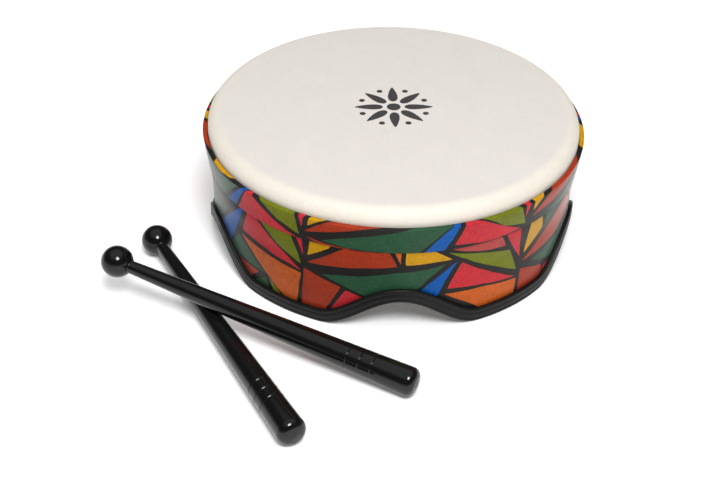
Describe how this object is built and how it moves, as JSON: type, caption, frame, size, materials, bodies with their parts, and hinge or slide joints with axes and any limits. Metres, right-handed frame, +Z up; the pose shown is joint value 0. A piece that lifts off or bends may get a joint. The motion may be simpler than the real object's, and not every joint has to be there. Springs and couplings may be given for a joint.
{
  "type": "frame drum",
  "caption": "Round frame drum with a stretched white head, mosaic-printed shell with arched rubber-edged feet, and crossed ball-ended beaters lying beside it.",
  "frame": {"origin": "centre of the playing face of the head", "axes": "+Z up out of the head, -Y to the front, where one of the arches in the lower edge is centred and the beaters lie to the left"},
  "size_m": [0.3151, 0.3553, 0.09],
  "materials": {
    "shell_board": "matte pressed fibreboard",
    "printed_skin": "satin print: black lines round crimson, vermilion, orange, ochre, olive, green and blue cells on a painted-canvas grain",
    "head_film": "warm white, coated synthetic film with a fine paper-like texture",
    "ring_plastic": "plain moulded plastic, hidden",
    "hoop_plastic": "plain black, hidden",
    "edge_rubber": "satin black extrusion",
    "beater_black": "high gloss black"
  },
  "bodies": {
    "drum": {"shell": "shell_board", "shell_wrap": "printed_skin", "bearing_ring": "ring_plastic", "drumhead": "head_film", "flesh_hoop": "hoop_plastic", "band": "printed_skin", "edge_trim": "edge_rubber"},
    "beater_lower": {"beater_lower_shaft": "beater_black", "beater_lower_ball": "beater_black"},
    "beater_upper": {"beater_upper_shaft": "beater_black", "beater_upper_ball": "beater_black"}
  },
  "joints": [
    {"name": "beater_lower_lift", "type": "slide", "parent": "drum", "child": "beater_lower", "axis": [0, 0, 1], "range_m": [0, 0.12]},
    {"name": "beater_upper_lift", "type": "slide", "parent": "beater_lower", "child": "beater_upper", "axis": [0, 0, 1], "range_m": [0, 0.12]}
  ]
}
